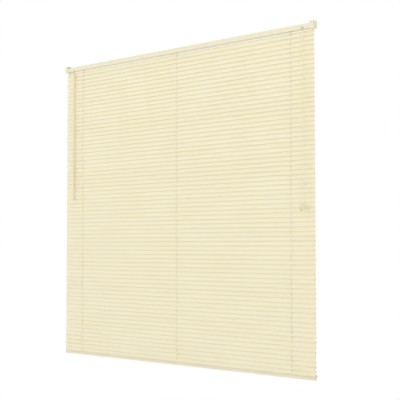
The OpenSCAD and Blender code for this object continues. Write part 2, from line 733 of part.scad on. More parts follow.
headrail();
headrail_cap(-1);  // headrail_cap_left
headrail_cap(1);  // headrail_cap_right
bracket(-1);  // bracket_left
bracket(1);  // bracket_right
bracket_cover(-1);  // bracket_cover_left
bracket_cover(1);  // bracket_cover_right
bracket_pin(-1);  // bracket_pin_left
bracket_pin(1);  // bracket_pin_right
tilter_housing();
tilter_worm();
tilter_gear();
tilt_rod();
cradle(ladder_x[0]);  // cradle_left
cradle(ladder_x[1]);  // cradle_middle
cradle(ladder_x[2]);  // cradle_right
ladder_drum(ladder_x[0]);  // ladder_drum_left
ladder_drum(ladder_x[1]);  // ladder_drum_middle
ladder_drum(ladder_x[2]);  // ladder_drum_right
cord_lock();
cord_lock_roller();
slats();
ladder(ladder_x[0]);  // ladder_left
ladder(ladder_x[1]);  // ladder_middle
ladder(ladder_x[2]);  // ladder_right
lift_cord(ladder_x[0], -1, -4);  // lift_cord_left
lift_cord(ladder_x[1], 1, 4);  // lift_cord_middle
lift_cord(ladder_x[2], 0, 0);  // lift_cord_right
pull_cord(pull_left);  // pull_cord_left
pull_cord(pull_middle);  // pull_cord_middle
pull_cord(pull_right);  // pull_cord_right
tassel(pull_left);  // tassel_left
tassel(pull_middle);  // tassel_middle
tassel(pull_right);  // tassel_right
wand();
wand_hook();
wand_sleeve();
wand_tip();
bottom_rail();
bottom_cap(-1);  // bottom_cap_left
bottom_cap(1);  // bottom_cap_right
bottom_plug(ladder_x[0]);  // bottom_plug_left
bottom_plug(ladder_x[1]);  // bottom_plug_middle
bottom_plug(ladder_x[2]);  // bottom_plug_right
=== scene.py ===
"""Looks of a cream PVC venetian blind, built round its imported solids. All lengths are in metres."""
import json
import math

import bmesh
import bpy
import numpy as np
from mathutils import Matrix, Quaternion, Vector


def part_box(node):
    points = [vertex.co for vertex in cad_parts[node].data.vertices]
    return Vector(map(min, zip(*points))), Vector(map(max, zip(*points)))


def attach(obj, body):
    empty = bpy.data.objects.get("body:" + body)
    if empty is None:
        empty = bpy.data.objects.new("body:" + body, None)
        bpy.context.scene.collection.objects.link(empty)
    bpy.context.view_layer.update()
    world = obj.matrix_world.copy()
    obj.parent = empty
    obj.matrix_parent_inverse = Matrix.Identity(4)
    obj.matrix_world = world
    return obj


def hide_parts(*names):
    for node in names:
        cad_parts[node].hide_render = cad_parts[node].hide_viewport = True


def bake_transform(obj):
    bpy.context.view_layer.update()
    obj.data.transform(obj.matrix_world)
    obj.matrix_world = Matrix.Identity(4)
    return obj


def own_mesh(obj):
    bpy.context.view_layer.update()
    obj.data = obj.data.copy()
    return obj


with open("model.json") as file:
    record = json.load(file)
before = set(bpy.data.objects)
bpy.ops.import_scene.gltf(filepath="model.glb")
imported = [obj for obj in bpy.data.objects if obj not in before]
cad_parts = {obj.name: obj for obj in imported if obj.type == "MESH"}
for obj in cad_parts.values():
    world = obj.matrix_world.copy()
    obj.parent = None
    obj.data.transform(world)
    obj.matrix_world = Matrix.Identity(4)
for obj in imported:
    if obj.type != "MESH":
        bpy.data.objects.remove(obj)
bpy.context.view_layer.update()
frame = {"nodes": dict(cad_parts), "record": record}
nodes = frame["nodes"]
chance = np.random.default_rng(seed=20)

# Sizes shared with the solids
MID_Y = -0.014
RAIL_UNDER = -0.0138
ROD_Z = -0.0035
SLAT_COUNT = 72
SLAT_LENGTH = 1.6
SLAT_WIDTH = 0.025
SLAT_THICK = 0.0005
SLAT_CROWN = 0.002
SLAT_TILT = math.radians(68)
TOP_SLAT_Z = -0.0303898
LOW_SLAT_Z = -1.4642102
SLAT_Z = np.linspace(TOP_SLAT_Z, LOW_SLAT_Z, SLAT_COUNT)
LADDER_X = {"left": -0.675, "middle": 0.0, "right": 0.675}
STRING_Y = 0.0055644
STRING_R = 0.0005
RUNG_R = 0.0004
RUNG_DROP = 0.0008
LIFT_X = 0.0016
LIFT_Y = -0.0158544
CORD_R = 0.0007
LOCK_X = 0.745
EXIT_Y = -0.0288
EXIT_Z = -0.020
WAND_R = 0.0045
BOTTOM_TILT = math.radians(58)
BOTTOM_A = 0.0125
BOTTOM_B = 0.005
BOTTOM_WALL = 0.0012
BOTTOM_HALF_H = math.hypot(BOTTOM_A * math.sin(BOTTOM_TILT), BOTTOM_B * math.cos(BOTTOM_TILT))
BOTTOM_SETBACK = 0.0015
BOTTOM_Y = MID_Y + BOTTOM_SETBACK
FOOT_Z = -1.4918
BOTTOM_Z = FOOT_Z + BOTTOM_HALF_H
KNOT_DEPTH = 0.005
KNOT_Z = BOTTOM_Z - KNOT_DEPTH

# Colours, linear: most finishes run from a base to a deeper tone
CREAM = (0.870, 0.800, 0.605)
CREAM_DEEP = (0.820, 0.735, 0.525)
PAINT = (0.822, 0.772, 0.578)
PAINT_DEEP = (0.777, 0.717, 0.513)
MOULDED = (0.83, 0.75, 0.525)
MOULDED_DEEP = (0.77, 0.69, 0.475)
WAND = (0.86, 0.78, 0.575)
WAND_DEEP = (0.81, 0.73, 0.525)
NYLON = (0.80, 0.73, 0.53)
NYLON_DEEP = (0.73, 0.65, 0.44)
STEEL = (0.60, 0.61, 0.63)
STEEL_DEEP = (0.50, 0.51, 0.53)
CORD = (0.90, 0.83, 0.63)
# Painted shade laid in the braid's hollows between its strands
CORD_HOLLOW_SHADE = (0.84, 0.76, 0.55)
DUST = (0.78, 0.75, 0.66)
FLOOR = (0.93, 0.93, 0.92)


# Camera at the photograph's place

CAMERA_AT = (3.1718, -3.3387, -0.9331)
CAMERA_FORWARD = (-0.67211, 0.73895, 0.04723)
CAMERA_ROLL = -0.0007
CAMERA_LENS = 87.34
CAMERA_SENSOR = 36.0


def in_scene(name, data):
    """Object that shows a mesh, camera or lamp, linked to the scene."""
    thing = bpy.data.objects.new(name, data)
    bpy.context.scene.collection.objects.link(thing)
    return thing


def aim(thing, place, forward, roll=0.0):
    """Puts a camera or lamp at a place, looking forward, turned about its own axis by a roll."""
    thing.location = place
    thing.rotation_mode = "QUATERNION"
    thing.rotation_quaternion = forward.to_track_quat("-Z", "Y") @ Quaternion((0.0, 0.0, 1.0), roll)


def place_camera():
    """Camera by its place, its forward direction, a slight roll and its focal length."""
    data = bpy.data.cameras.new("camera")
    data.sensor_width = CAMERA_SENSOR
    data.lens = CAMERA_LENS
    camera = in_scene("camera", data)
    aim(camera, CAMERA_AT, Vector(CAMERA_FORWARD), CAMERA_ROLL)
    bpy.context.scene.camera = camera


place_camera()


# Surfaces

SAME_PLACE = 1e-6
NEARLY_PARALLEL = 0.2


def grid_cells(rows, columns, closed):
    """Corner numbers of a grid's cells; a closed grid joins its last column to its first."""
    last = columns if closed else columns - 1
    i, j = np.meshgrid(np.arange(rows - 1), np.arange(last), indexing="ij")
    right = (j + 1) % columns
    here = i * columns
    below = (i + 1) * columns
    return np.stack([here + j, below + j, below + right, here + right], -1)


def loop_cells(rows, sides):
    """Cells of a grid that is closed both ways: its last ring also joins its first."""
    cells = grid_cells(rows + 1, sides, True)
    return np.where(cells >= rows * sides, cells - rows * sides, cells)


def end_rings(rows, sides):
    """Corner numbers of the faces that close a tube at its first and last rings."""
    last = (rows - 1) * sides
    return np.arange(sides), np.arange(last, last + sides)[::-1]


def repeated(cells, count, size):
    """The same cells for each of count copies, whose corner numbers lie size apart."""
    return (cells.reshape(1, -1, 4) + (np.arange(count) * size).reshape(-1, 1, 1)).reshape(-1, 4)


def turned_out(points, faces):
    """Faces in the order that makes the volume under them, measured from their middle, positive."""
    corners = (points - points.mean(0))[faces]
    first = np.einsum("ij,ij->i", corners[:, 0], np.cross(corners[:, 1], corners[:, 2]))
    second = np.einsum("ij,ij->i", corners[:, 0], np.cross(corners[:, 2], corners[:, 3]))
    return faces if (first + second).sum() >= 0 else faces[:, ::-1]


def cell_uv(along, around):
    """UV of each cell's four corners, from the distances along the rows and around the columns."""
    u0, v0 = np.meshgrid(along[:-1], around[:-1], indexing="ij")
    u1, v1 = np.meshgrid(along[1:], around[1:], indexing="ij")
    return np.stack([np.stack(pair, -1) for pair in ((u0, v0), (u1, v0), (u1, v1), (u0, v1))], -2)


def make_piece(name, points, quads, caps=(), uv=None, corner=40):
    """Mesh piece with its place in its mesh, smooth except at corners of more than an angle in degrees."""
    points = points.reshape(-1, 3)
    quads = quads.reshape(-1, 4)
    ordered = turned_out(points, quads)
    flipped = ordered is not quads
    ends = [list(ring)[::-1] if flipped else list(ring) for ring in caps]
    mesh = bpy.data.meshes.new(name)
    mesh.from_pydata(points.tolist(), [], ordered.tolist() + ends)
    if uv is not None:
        uv = uv.reshape(-1, 4, 2)
        uv = uv[:, ::-1] if flipped else uv
        layer = mesh.uv_layers.new(name="UVMap")
        flat = np.zeros((len(mesh.loops), 2), np.float32)
        flat[:uv.size // 2] = uv.reshape(-1, 2)
        layer.data.foreach_set("uv", flat.ravel())
    mesh.polygons.foreach_set("use_smooth", np.ones(len(mesh.polygons), bool))
    mesh.update()
    mesh.set_sharp_from_angle(angle=math.radians(corner))
    return in_scene(name, mesh)


def smooth_path(points, steps):
    """Catmull-Rom curve through the points: each span is a cubic with slopes from its neighbours."""
    points = np.asarray(points, float)
    padded = np.vstack([2 * points[0] - points[1], points, 2 * points[-1] - points[-2]])
    t = np.linspace(0, 1, steps, endpoint=False).reshape(1, -1, 1)
    a, b, c, d = (padded[i:len(points) - 1 + i, None] for i in range(4))
    square = (2 * a - 5 * b + 4 * c - d) * t ** 2
    cube = (3 * b - a - 3 * c + d) * t ** 3
    curve = 0.5 * (2 * b + (c - a) * t + square + cube)
    return np.vstack([curve.reshape(-1, 3), points[-1:]])


def tube_rings(paths, radius, sides):
    """Rings round paths of points: each ring is a circle in the plane across its path."""
    flow = np.gradient(paths, axis=-2)
    flow = flow / np.linalg.norm(flow, axis=-1, keepdims=True)
    across = np.cross(flow, np.array([0.0, 1.0, 0.0]))
    small = np.linalg.norm(across, axis=-1, keepdims=True)
    across = np.where(small < NEARLY_PARALLEL, np.cross(flow, np.array([1.0, 0.0, 0.0])), across)
    across = across / np.linalg.norm(across, axis=-1, keepdims=True)
    over = np.cross(flow, across)
    turn = np.linspace(0, 2 * np.pi, sides, endpoint=False).reshape(-1, 1)
    ring = np.cos(turn) * across[..., None, :] + np.sin(turn) * over[..., None, :]
    return paths[..., None, :] + radius * ring


def tube_piece(name, path, radius, sides):
    """Round cord along a path, closed at both ends, with UV in metres along it and turns around it."""
    path = np.asarray(path, float)
    rings = tube_rings(path, radius, sides)
    along = np.concatenate([[0], np.cumsum(np.linalg.norm(np.diff(path, axis=0), axis=1))])
    uv = cell_uv(along, np.linspace(0, 1, sides + 1))
    return make_piece(name, rings, grid_cells(len(path), sides, True), end_rings(len(path), sides), uv)


def tube_bundle(paths, radius, sides, length):
    """Points, cells and UV of like tubes, open at their ends, one for each path; one length serves all."""
    count, steps = paths.shape[:2]
    points = tube_rings(paths, radius, sides).reshape(-1, 3)
    cells = repeated(grid_cells(steps, sides, True), count, steps * sides)
    uv = cell_uv(np.linspace(0, length, steps), np.linspace(0, 1, sides + 1)).reshape(-1, 4, 2)
    return points, cells, np.tile(uv, (count, 1, 1))


def joined(first, second):
    """Points, cells and UV of two bundles of tubes as one."""
    points, cells, uv = first
    more_points, more_cells, more_uv = second
    return (np.vstack([points, more_points]), np.vstack([cells, more_cells + len(points)]),
            np.vstack([uv, more_uv]))


def turned_piece(name, profile, axis_x, axis_y, sides=40):
    """Lathe surface: a closed profile of radius and height carried round an upright axis."""
    profile = np.asarray(profile, float)
    turn = np.linspace(0, 2 * np.pi, sides, endpoint=False)
    r, z = profile[:, :1], profile[:, 1:]
    rings = np.stack([axis_x + r * np.cos(turn), axis_y + r * np.sin(turn), z + 0 * turn], -1)
    return make_piece(name, rings, loop_cells(len(profile), sides), corner=50)


def arc(centre, radius, start, end, steps=6):
    """Points of a quarter or other arc in a profile, from one angle in degrees to another."""
    turn = np.radians(np.linspace(start, end, steps))
    return [(centre[0] + radius * math.cos(t), centre[1] + radius * math.sin(t)) for t in turn]


def dress(piece, body, slot, material, *replaced):
    """Gives a piece its body and material, and hides the solids that it stands for; its record slot is not
    used.
    """
    piece.data.materials.append(material)
    if body:
        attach(piece, body)
    if replaced:
        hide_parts(*replaced)


# Node groups that several finishes share

# Span that most values of a noise lie in
NOISE_SPAN = (0.3, 0.7)
# How far a face looks up, and how strong the noise is, where dust begins and where it is full
DUST_FACING = (0.45, 1.0)
DUST_NOISE_SPAN = (0.35, 0.75)
BRAID_PITCH = 0.0016
BRAID_STARTS = 2
# Heights of the strands where the painted shade in a hollow begins and where it is darkest
BRAID_SHADE_HEIGHTS = (-0.2, -0.9)


def new_group(name, *outputs):
    """Empty shader node group with its vector and its results, which are named numbers."""
    tree = bpy.data.node_groups.new(name, "ShaderNodeTree")
    tree.interface.new_socket("Vector", in_out="INPUT", socket_type="NodeSocketVector")
    for label in outputs:
        tree.interface.new_socket(label, in_out="OUTPUT", socket_type="NodeSocketFloat")
    given = tree.nodes.new("NodeGroupInput")
    result = tree.nodes.new("NodeGroupOutput")
    return tree, given.outputs["Vector"], result.inputs


def maths(tree, operation, first, second):
    """Math node on two sockets or numbers."""
    node = tree.nodes.new("ShaderNodeMath")
    node.operation = operation
    for socket, value in zip(node.inputs, (first, second)):
        if isinstance(value, (int, float)):
            socket.default_value = value
        else:
            tree.links.new(value, socket)
    return node.outputs[0]


def spread(tree, value, low, high, to_low=0.0, to_high=1.0):
    """Map Range node from one span to another, clamped."""
    node = tree.nodes.new("ShaderNodeMapRange")
    node.inputs["From Min"].default_value = low
    node.inputs["From Max"].default_value = high
    node.inputs["To Min"].default_value = to_low
    node.inputs["To Max"].default_value = to_high
    tree.links.new(value, node.inputs["Value"])
    return node.outputs["Result"]


def noise(tree, vector, scale, detail, stretch=None):
    """Noise over a vector, which may first be stretched by a factor for each axis."""
    node = tree.nodes.new("ShaderNodeTexNoise")
    node.inputs["Scale"].default_value = scale
    node.inputs["Detail"].default_value = detail
    if stretch:
        mapping = tree.nodes.new("ShaderNodeMapping")
        mapping.inputs["Scale"].default_value = stretch
        tree.links.new(vector, mapping.inputs["Vector"])
        vector = mapping.outputs["Vector"]
    tree.links.new(vector, node.inputs["Vector"])
    return node.outputs["Fac"]


def axes_of(tree, vector):
    """The three numbers of a vector, by the names of its axes."""
    split = tree.nodes.new("ShaderNodeSeparateXYZ")
    tree.links.new(vector, split.inputs[0])
    return split.outputs


def drawn_streaks_group():
    """Fine lines along X that an extruding die leaves, and broad soft patches of tone."""
    tree, vector, result = new_group("drawn_streaks", "Lines", "Patches")
    lines = noise(tree, vector, scale=1.0, detail=3.0, stretch=(5.0, 900.0, 900.0))
    patches = noise(tree, vector, scale=9.0, detail=2.0, stretch=(0.5, 1.0, 1.0))
    tree.links.new(spread(tree, lines, *NOISE_SPAN), result["Lines"])
    tree.links.new(spread(tree, patches, *NOISE_SPAN), result["Patches"])
    return tree


def fine_grain_group():
    """Small bumps of a moulded or sprayed surface, and broad soft patches of tone."""
    tree, vector, result = new_group("fine_grain", "Grain", "Patches")
    grain = noise(tree, vector, scale=1600.0, detail=2.0)
    patches = noise(tree, vector, scale=35.0, detail=3.0)
    tree.links.new(grain, result["Grain"])
    tree.links.new(spread(tree, patches, *NOISE_SPAN), result["Patches"])
    return tree


def resting_dust_group():
    """Mask of the dust on faces that look up, broken by noise."""
    tree, vector, result = new_group("resting_dust", "Mask")
    geometry = tree.nodes.new("ShaderNodeNewGeometry")
    up = spread(tree, axes_of(tree, geometry.outputs["Normal"])["Z"], *DUST_FACING)
    broken = spread(tree, noise(tree, vector, scale=220.0, detail=4.0), *DUST_NOISE_SPAN)
    tree.links.new(maths(tree, "MULTIPLY", up, broken), result["Mask"])
    return tree


def braid_group():
    """Strands that cross: the product of two waves that wind round the cord in opposite ways, and a mask of
    painted shade in the hollows between the strands.
    """
    tree, vector, result = new_group("braid", "Strands", "PaintedHollowShade")
    place = axes_of(tree, vector)
    run = maths(tree, "MULTIPLY", place["X"], 2 * math.pi / BRAID_PITCH)
    wind = maths(tree, "MULTIPLY", place["Y"], 2 * math.pi * BRAID_STARTS)
    one = maths(tree, "SINE", maths(tree, "ADD", run, wind), 0.0)
    other = maths(tree, "SINE", maths(tree, "SUBTRACT", run, wind), 0.0)
    woven = maths(tree, "MULTIPLY", one, other)
    tree.links.new(spread(tree, woven, -1.0, 1.0), result["Strands"])
    # Painted shade: a mask of the hollows between the strands, for a darker colour there
    tree.links.new(spread(tree, woven, *BRAID_SHADE_HEIGHTS), result["PaintedHollowShade"])
    return tree


DRAWN_STREAKS = drawn_streaks_group()
FINE_GRAIN = fine_grain_group()
RESTING_DUST = resting_dust_group()
BRAID = braid_group()


# Finishes

DUST_SHARE = 0.25
LIGHT_IN_SHARE = 0.5
LIGHT_IN_REACH = (1.0, 0.9, 0.7)
LIGHT_IN_DEPTH = 0.002
DRAWN_PATCH_SHARE = 0.30
DRAWN_LINE_SHARE = 0.10
DRAWN_ROUGH = (0.38, 0.50)
DRAWN_BUMP = 0.00002
GRAIN_PATCH_SHARE = 0.4
CORD_ROUGH = (0.9, 0.7)
CORD_SHEEN = 0.1
CORD_BUMP = 0.00005
# Sockets of a Mix node that carry colours
MIX_FIRST = 6
MIX_SECOND = 7
MIX_RESULT = 2


def new_finish(name):
    """Material with its node tree, its Principled shader and its texture coordinates."""
    material = bpy.data.materials.new(name)
    material.use_nodes = True
    tree = material.node_tree
    place = tree.nodes.new("ShaderNodeTexCoord")
    return material, tree, tree.nodes["Principled BSDF"], place.outputs


def placed(tree, group, vector):
    """Results of a node group in a material, fed with a vector."""
    node = tree.nodes.new("ShaderNodeGroup")
    node.node_tree = group
    tree.links.new(vector, node.inputs["Vector"])
    return node.outputs


def mixed(tree, amount, first, second):
    """Colour between two colours or sockets, by an amount."""
    node = tree.nodes.new("ShaderNodeMix")
    node.data_type = "RGBA"
    tree.links.new(amount, node.inputs["Factor"])
    for socket, colour in ((MIX_FIRST, first), (MIX_SECOND, second)):
        if isinstance(colour, tuple):
            node.inputs[socket].default_value = (*colour, 1.0)
        else:
            tree.links.new(colour, node.inputs[socket])
    return node.outputs[MIX_RESULT]


def dusted(tree, shader, place, colour):
    """Base colour of a shader, with dust over it on faces that look up."""
    dust = placed(tree, RESTING_DUST, place["Object"])
    share = maths(tree, "MULTIPLY", dust["Mask"], DUST_SHARE)
    tree.links.new(mixed(tree, share, colour, DUST), shader.inputs["Base Color"])


def bumped(tree, shader, height, depth):
    """Bump of a given depth in metres on the shader's normal."""
    node = tree.nodes.new("ShaderNodeBump")
    node.inputs["Distance"].default_value = depth
    node.inputs["Strength"].default_value = 1.0
    tree.links.new(height, node.inputs["Height"])
    tree.links.new(node.outputs["Normal"], shader.inputs["Normal"])


def let_light_in(shader):
    """Light scattered inside a plastic or fibre, red deepest."""
    shader.inputs["Subsurface Weight"].default_value = LIGHT_IN_SHARE
    shader.inputs["Subsurface Radius"].default_value = LIGHT_IN_REACH
    shader.inputs["Subsurface Scale"].default_value = LIGHT_IN_DEPTH


def drawn_finish(name, base, deep, tone=None):
    """Extruded PVC: tone in patches and along die lines, duller where the lines rise, light let in, dust."""
    material, tree, shader, place = new_finish(name)
    streaks = placed(tree, DRAWN_STREAKS, place["Object"])
    patches = maths(tree, "MULTIPLY", streaks["Patches"], DRAWN_PATCH_SHARE)
    amount = maths(tree, "ADD", patches, maths(tree, "MULTIPLY", streaks["Lines"], DRAWN_LINE_SHARE))
    if tone:
        attribute = tree.nodes.new("ShaderNodeAttribute")
        attribute.attribute_name = tone
        amount = maths(tree, "ADD", amount, attribute.outputs["Fac"])
    dusted(tree, shader, place, mixed(tree, amount, base, deep))
    tree.links.new(spread(tree, streaks["Lines"], 0.0, 1.0, *DRAWN_ROUGH), shader.inputs["Roughness"])
    let_light_in(shader)
    bumped(tree, shader, streaks["Lines"], DRAWN_BUMP)
    return material


def grain_finish(name, base, deep, rough, bump, metal=0.0, plastic=False):
    """Moulded, sprayed or ground surface: tone in patches, roughness and bump from its grain, dust."""
    material, tree, shader, place = new_finish(name)
    grain = placed(tree, FINE_GRAIN, place["Object"])
    amount = maths(tree, "MULTIPLY", grain["Patches"], GRAIN_PATCH_SHARE)
    dusted(tree, shader, place, mixed(tree, amount, base, deep))
    tree.links.new(spread(tree, grain["Grain"], *NOISE_SPAN, *rough), shader.inputs["Roughness"])
    shader.inputs["Metallic"].default_value = metal
    if plastic:
        let_light_in(shader)
    bumped(tree, shader, grain["Grain"], bump)
    return material


def cord_finish(name, base, deep):
    """Braided polyester: strands raised and pale, painted shade darkening the hollows between them, with a
    soft sheen.
    """
    material, tree, shader, place = new_finish(name)
    braid = placed(tree, BRAID, place["UV"])
    # Painted shade: the colour darkens to the hollow shade in the hollows between the strands
    tree.links.new(mixed(tree, braid["PaintedHollowShade"], base, deep), shader.inputs["Base Color"])
    tree.links.new(spread(tree, braid["Strands"], 0.0, 1.0, *CORD_ROUGH), shader.inputs["Roughness"])
    let_light_in(shader)
    shader.inputs["Sheen Weight"].default_value = CORD_SHEEN
    shader.inputs["Sheen Tint"].default_value = (*base, 1.0)
    bumped(tree, shader, braid["Strands"], CORD_BUMP)
    return material


SLAT_PVC = drawn_finish("slat_pvc", CREAM, CREAM_DEEP, "slat_tone")
RAIL_PVC = drawn_finish("bottom_rail_pvc", CREAM, CREAM_DEEP)
RAIL_PAINT = grain_finish("rail_paint", PAINT, PAINT_DEEP, rough=(0.35, 0.45), bump=0.000012)
MOULDED_CREAM = grain_finish("moulded_cream", MOULDED, MOULDED_DEEP, rough=(0.38, 0.52), bump=0.00002,
                             plastic=True)
WAND_PLASTIC = grain_finish("wand_plastic", WAND, WAND_DEEP, rough=(0.18, 0.28), bump=0.000008, plastic=True)
PALE_NYLON = grain_finish("pale_nylon", NYLON, NYLON_DEEP, rough=(0.5, 0.62), bump=0.00002, plastic=True)
BRIGHT_STEEL = grain_finish("bright_steel", STEEL, STEEL_DEEP, rough=(0.24, 0.36), bump=0.000006, metal=1.0)
BRAIDED_CORD = cord_finish("braided_cord", CORD, CORD_HOLLOW_SHADE)

NODE_FINISH = {"rail_paint": RAIL_PAINT, "moulded_cream": MOULDED_CREAM, "wand_plastic": WAND_PLASTIC,
               "nylon": PALE_NYLON, "steel": BRIGHT_STEEL, "slat_pvc": RAIL_PVC, "cord": BRAIDED_CORD}


def finish_solids():
    """Every solid that stays in view gets the finish of its record slot."""
    for row in frame["record"]["subparts"]:
        solid = nodes[row["node"]]
        solid.data.materials.clear()
        solid.data.materials.append(NODE_FINISH[row["material_slot"]])


finish_solids()


# Pull cords and their tassels, with routes and profiles in millimetres

PULL_ROUTES = {
    "left": [(-4, 0, -20), (-4, 0, -26), (-4.5, 0, -60), (-6, -1, -140), (-8, -1, -240), (-10, 0, -340),
             (-11.5, 0, -440), (-12, 0, -540), (-11.5, 0, -640), (-11, 0, -720), (-11, 0, -762),
             (-11, 0, -774)],
    "middle": [(4, 0, -20), (4, 0, -26), (5, 0, -60), (7.5, -1, -140), (11, -1, -240), (15, 0, -340),
               (19, 0, -440), (22, 0, -540), (24, 0, -640), (25, 0, -720), (25, 0, -760), (25, 0, -772)],
    "right": [(0, 0, -20), (0, 0, -26), (0, 0, -60), (0.5, -1, -140), (1, -1, -240), (2, 0, -340),
              (3, 0, -440), (3.5, 0, -540), (3.5, 0, -640), (3.5, 0, -720), (3.5, 0, -754),
              (3.5, 0, -766)],
}
PULL_STEPS = 8
PULL_SIDES = 10
TASSEL_H = 0.024
TASSEL_ABOVE = 0.012


def tassel_profile(base):
    """Bell outside from its lip up to a beaded neck, then down the bore and the hollow inside it."""
    outside = [(3.7, 0.0), (4.3, 0.35), (4.5, 1.2), (4.45, 4.0), (4.2, 8.0), (3.6, 12.0), (2.9, 15.5),
               (2.35, 18.5), (2.1, 20.3), (2.35, 21.0), (2.45, 21.8), (2.35, 22.6), (2.0, 23.4), (1.5, 24.0)]
    inside = [(0.95, 24.0), (0.85, 23.4), (0.85, 9.2), (2.2, 8.6), (2.9, 7.4), (3.1, 5.0), (3.2, 0.4)]
    return [(r / 1000, base + z / 1000) for r, z in outside + inside]


def hang_pull_cords():
    """Each pull cord is a round tube on a smooth curve from the lock's nose to its tassel."""
    for side, route in PULL_ROUTES.items():
        points = [(LOCK_X + x / 1000, EXIT_Y + y / 1000, z / 1000) for x, y, z in route]
        path = smooth_path(points, PULL_STEPS)
        cord = tube_piece("pull_cord_" + side + "_braid", path, CORD_R, PULL_SIDES)
        end = points[-1]
        base = end[2] + TASSEL_ABOVE - TASSEL_H
        bell = turned_piece("tassel_" + side + "_bell", tassel_profile(base), end[0], end[1])
        dress(bell, "tassels", "moulded_cream", MOULDED_CREAM, "tassel_" + side)
        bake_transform(cord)
        dress(cord, None, "cord", BRAIDED_CORD, "pull_cord_" + side)


hang_pull_cords()


# Folded brackets and moulded caps

FOLD_ROUND = 0.0005
CAP_ROUND = 0.0006
ROUND_STEPS = 3
FLAT_ANGLE = math.radians(1)
FOLD_ANGLE = math.radians(40)
SOFT_SOLIDS = (("bracket_left", "blind", "rail_paint", FOLD_ROUND),
               ("bracket_right", "blind", "rail_paint", FOLD_ROUND),
               ("bracket_cover_left", "cover_left", "rail_paint", FOLD_ROUND),
               ("bracket_cover_right", "cover_right", "rail_paint", FOLD_ROUND),
               ("headrail_cap_left", "blind", "moulded_cream", CAP_ROUND),
               ("headrail_cap_right", "blind", "moulded_cream", CAP_ROUND))


def soften_edges(node, body, slot, width):
    """Copy of a solid with its triangles joined into flat faces and a narrow round along its folds."""
    mesh = nodes[node].data.copy()
    mesh.name = node + "_rounded"
    mesh.materials.clear()
    shape = bmesh.new()
    shape.from_mesh(mesh)
    bmesh.ops.remove_doubles(shape, verts=shape.verts, dist=SAME_PLACE)
    bmesh.ops.dissolve_limit(shape, angle_limit=FLAT_ANGLE, verts=shape.verts, edges=shape.edges)
    shape.to_mesh(mesh)
    shape.free()
    mesh.polygons.foreach_set("use_smooth", np.ones(len(mesh.polygons), bool))
    piece = in_scene(node + "_rounded", mesh)
    rounds = piece.modifiers.new("rounds", "BEVEL")
    rounds.width = width
    rounds.segments = ROUND_STEPS
    rounds.angle_limit = FOLD_ANGLE
    rounds.harden_normals = True
    dress(piece, body, slot, NODE_FINISH[slot], node)


for solid in SOFT_SOLIDS:
    soften_edges(*solid)


# Lift cords

LIFT_STEPS = 40
LIFT_SIDES = 8
RUN_Z = -0.0108
LANE_STEP = 0.002
LANE_REACHED = 0.04
BEND_R = 4 * CORD_R
BEND_TURNS = np.radians(np.arange(0, 91, 15))
# Each cord's lane along the headrail, and its place along the lock's roller
LIFT_LANES = {"left": (-1, -0.004), "middle": (1, 0.004), "right": (0, 0.0)}


def lift_run(x, lane, place):
    """A lift cord in the headrail: round the bend, along the floor, over the roller, out of the nose."""
    up_x = x + LIFT_X
    run_y = LIFT_Y + lane * LANE_STEP
    foot = [(up_x, LIFT_Y, RAIL_UNDER)]
    bend = np.stack([up_x + BEND_R * (1 - np.cos(BEND_TURNS)), 0 * BEND_TURNS + LIFT_Y,
                     RUN_Z - BEND_R * (1 - np.sin(BEND_TURNS))], -1)
    aside = [[(up_x + LANE_REACHED, run_y, RUN_Z)]] if lane else []
    to_nose = [(-0.060, run_y, RUN_Z), (-0.024, run_y, RUN_Z + 0.0063),
               (-0.012 + place, run_y, RUN_Z + 0.0085), (-0.004 + place, run_y - 0.001, RUN_Z + 0.009),
               (-0.001 + place, run_y - 0.003, RUN_Z + 0.008),
               (place, MID_Y - 0.008, RUN_Z + 0.0045), (place, MID_Y - 0.012, RUN_Z - 0.0012),
               (place, EXIT_Y, RUN_Z - 0.005), (place, EXIT_Y, EXIT_Z)]
    return np.vstack([foot, bend, *aside, np.array(to_nose) + (LOCK_X, 0.0, 0.0)])


def string_lift_cords():
    """Each lift cord: an upright from its knot in the bottom rail up to the headrail, and a run inside the
    headrail.
    """
    for side, x in LADDER_X.items():
        upright = np.linspace((x + LIFT_X, LIFT_Y, KNOT_Z), (x + LIFT_X, LIFT_Y, RAIL_UNDER), LIFT_STEPS)
        cord = tube_piece("lift_cord_" + side + "_upright", upright, CORD_R, LIFT_SIDES)
        dress(cord, "blind", "cord", BRAIDED_CORD, "lift_cord_" + side)
        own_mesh(cord)
        run = tube_piece("lift_cord_" + side + "_run", lift_run(x, *LIFT_LANES[side]), CORD_R, LIFT_SIDES)
        dress(run, "blind", "cord", BRAIDED_CORD)


string_lift_cords()


# Ladders

STRING_CLEAR = 0.0003
STRING_STEPS = 74
STRING_SIDES = 8
RUNG_STEPS = 4
RUNG_SIDES = 6
LOOP_STEPS = 25


def ladder_loop(x):
    """Path of a ladder's top: up from the headrail's floor, half a circle over the drum, and down."""
    turn = np.linspace(0, np.pi, LOOP_STEPS)
    over = np.stack([0 * turn + x, MID_Y - STRING_Y * np.cos(turn), ROD_Z + STRING_Y * np.sin(turn)], -1)
    return np.vstack([[(x, MID_Y - STRING_Y, RAIL_UNDER)], over, [(x, MID_Y + STRING_Y, RAIL_UNDER)]])


